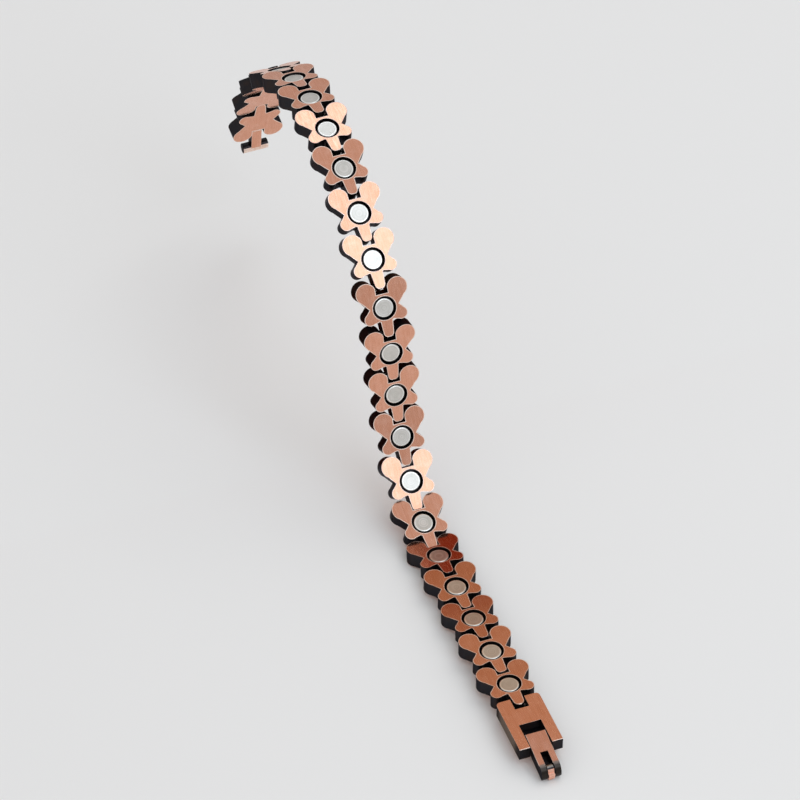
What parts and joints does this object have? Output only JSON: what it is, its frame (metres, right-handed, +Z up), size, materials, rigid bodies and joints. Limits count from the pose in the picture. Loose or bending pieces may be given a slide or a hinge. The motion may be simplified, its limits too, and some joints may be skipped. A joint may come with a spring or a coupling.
{
  "type": "magnetic bracelet",
  "caption": "Open magnetic bracelet of flat flower-shaped copper links with round magnets set in them and a fold-over clasp, draped in an arch.",
  "frame": {"origin": "the point under the arch's highest hinge, on the line of the links' undersides, where the draped bracelet sits", "axes": "+X across the bracelet, -Y along it towards the clasp, +Z up"},
  "size_m": [0.0102, 0.1595, 0.0616],
  "materials": {
    "copper": "brushed antique copper on the faces, blackened on the sides and in the gaps",
    "magnet": "satin nickel plate with fine turning marks",
    "dark_pins": "blackened steel",
    "steel_pin": "plain grey steel"
  },
  "bodies": {
    "root": {"link_01": "copper", "link_02": "copper", "link_03": "copper", "link_04": "copper", "link_05": "copper", "link_06": "copper", "link_07": "copper", "link_08": "copper", "link_09": "copper", "link_10": "copper", "link_11": "copper", "link_12": "copper", "link_13": "copper", "link_14": "copper", "link_15": "copper", "link_16": "copper", "link_17": "copper", "link_18": "copper", "link_19": "copper", "link_20": "copper", "link_21": "copper", "magnet_01": "magnet", "magnet_02": "magnet", "magnet_03": "magnet", "magnet_04": "magnet", "magnet_05": "magnet", "magnet_06": "magnet", "magnet_07": "magnet", "magnet_08": "magnet", "magnet_09": "magnet", "magnet_10": "magnet", "magnet_11": "magnet", "magnet_12": "magnet", "magnet_13": "magnet", "magnet_14": "magnet", "magnet_15": "magnet", "magnet_16": "magnet", "magnet_17": "magnet", "magnet_18": "magnet", "magnet_19": "magnet", "magnet_20": "magnet", "magnet_21": "magnet", "hinge_pins": "dark_pins", "clasp_plate": "copper", "lever_pin": "dark_pins", "end_catch": "copper"},
    "lever": {"clasp_lever": "copper", "fork_pin": "steel_pin", "hook_finger": "copper"}
  },
  "joints": [
    {"name": "lever_hinge", "type": "hinge", "parent": "root", "child": "lever", "pos_m": [0, -0.11492, -0.0556], "axis": [1, 0, 0], "range_deg": [-9, 135]}
  ]
}
